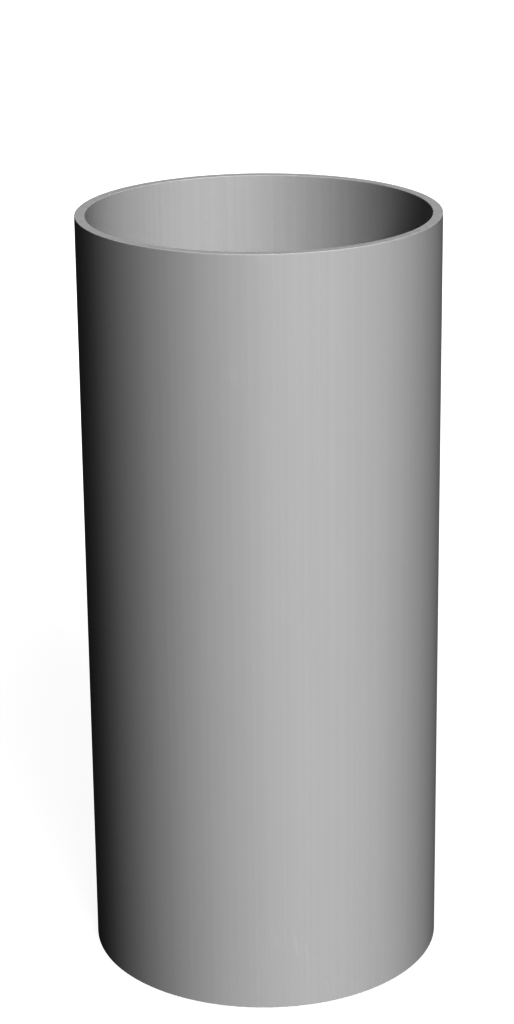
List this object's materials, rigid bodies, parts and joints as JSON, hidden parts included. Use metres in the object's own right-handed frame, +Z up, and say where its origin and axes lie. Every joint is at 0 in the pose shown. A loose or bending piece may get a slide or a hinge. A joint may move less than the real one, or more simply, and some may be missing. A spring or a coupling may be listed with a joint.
{
  "type": "pvc downpipe",
  "caption": "Short plain-ended length of round grey PVC rainwater downpipe: an open tube with a thin even wall and square-cut ends.",
  "frame": {"origin": "centre of the foot: the point where the pipe's axis meets the plane of its lower end, on which it stands", "axes": "+Z up along the pipe's axis; the section is round, so X and Y are any two directions across it"},
  "size_m": [0.0858, 0.0856, 0.1855],
  "materials": {
    "grey_pvc": "satin, through-coloured extruded grey"
  },
  "bodies": {
    "root": {"downpipe": "grey_pvc"}
  },
  "joints": []
}
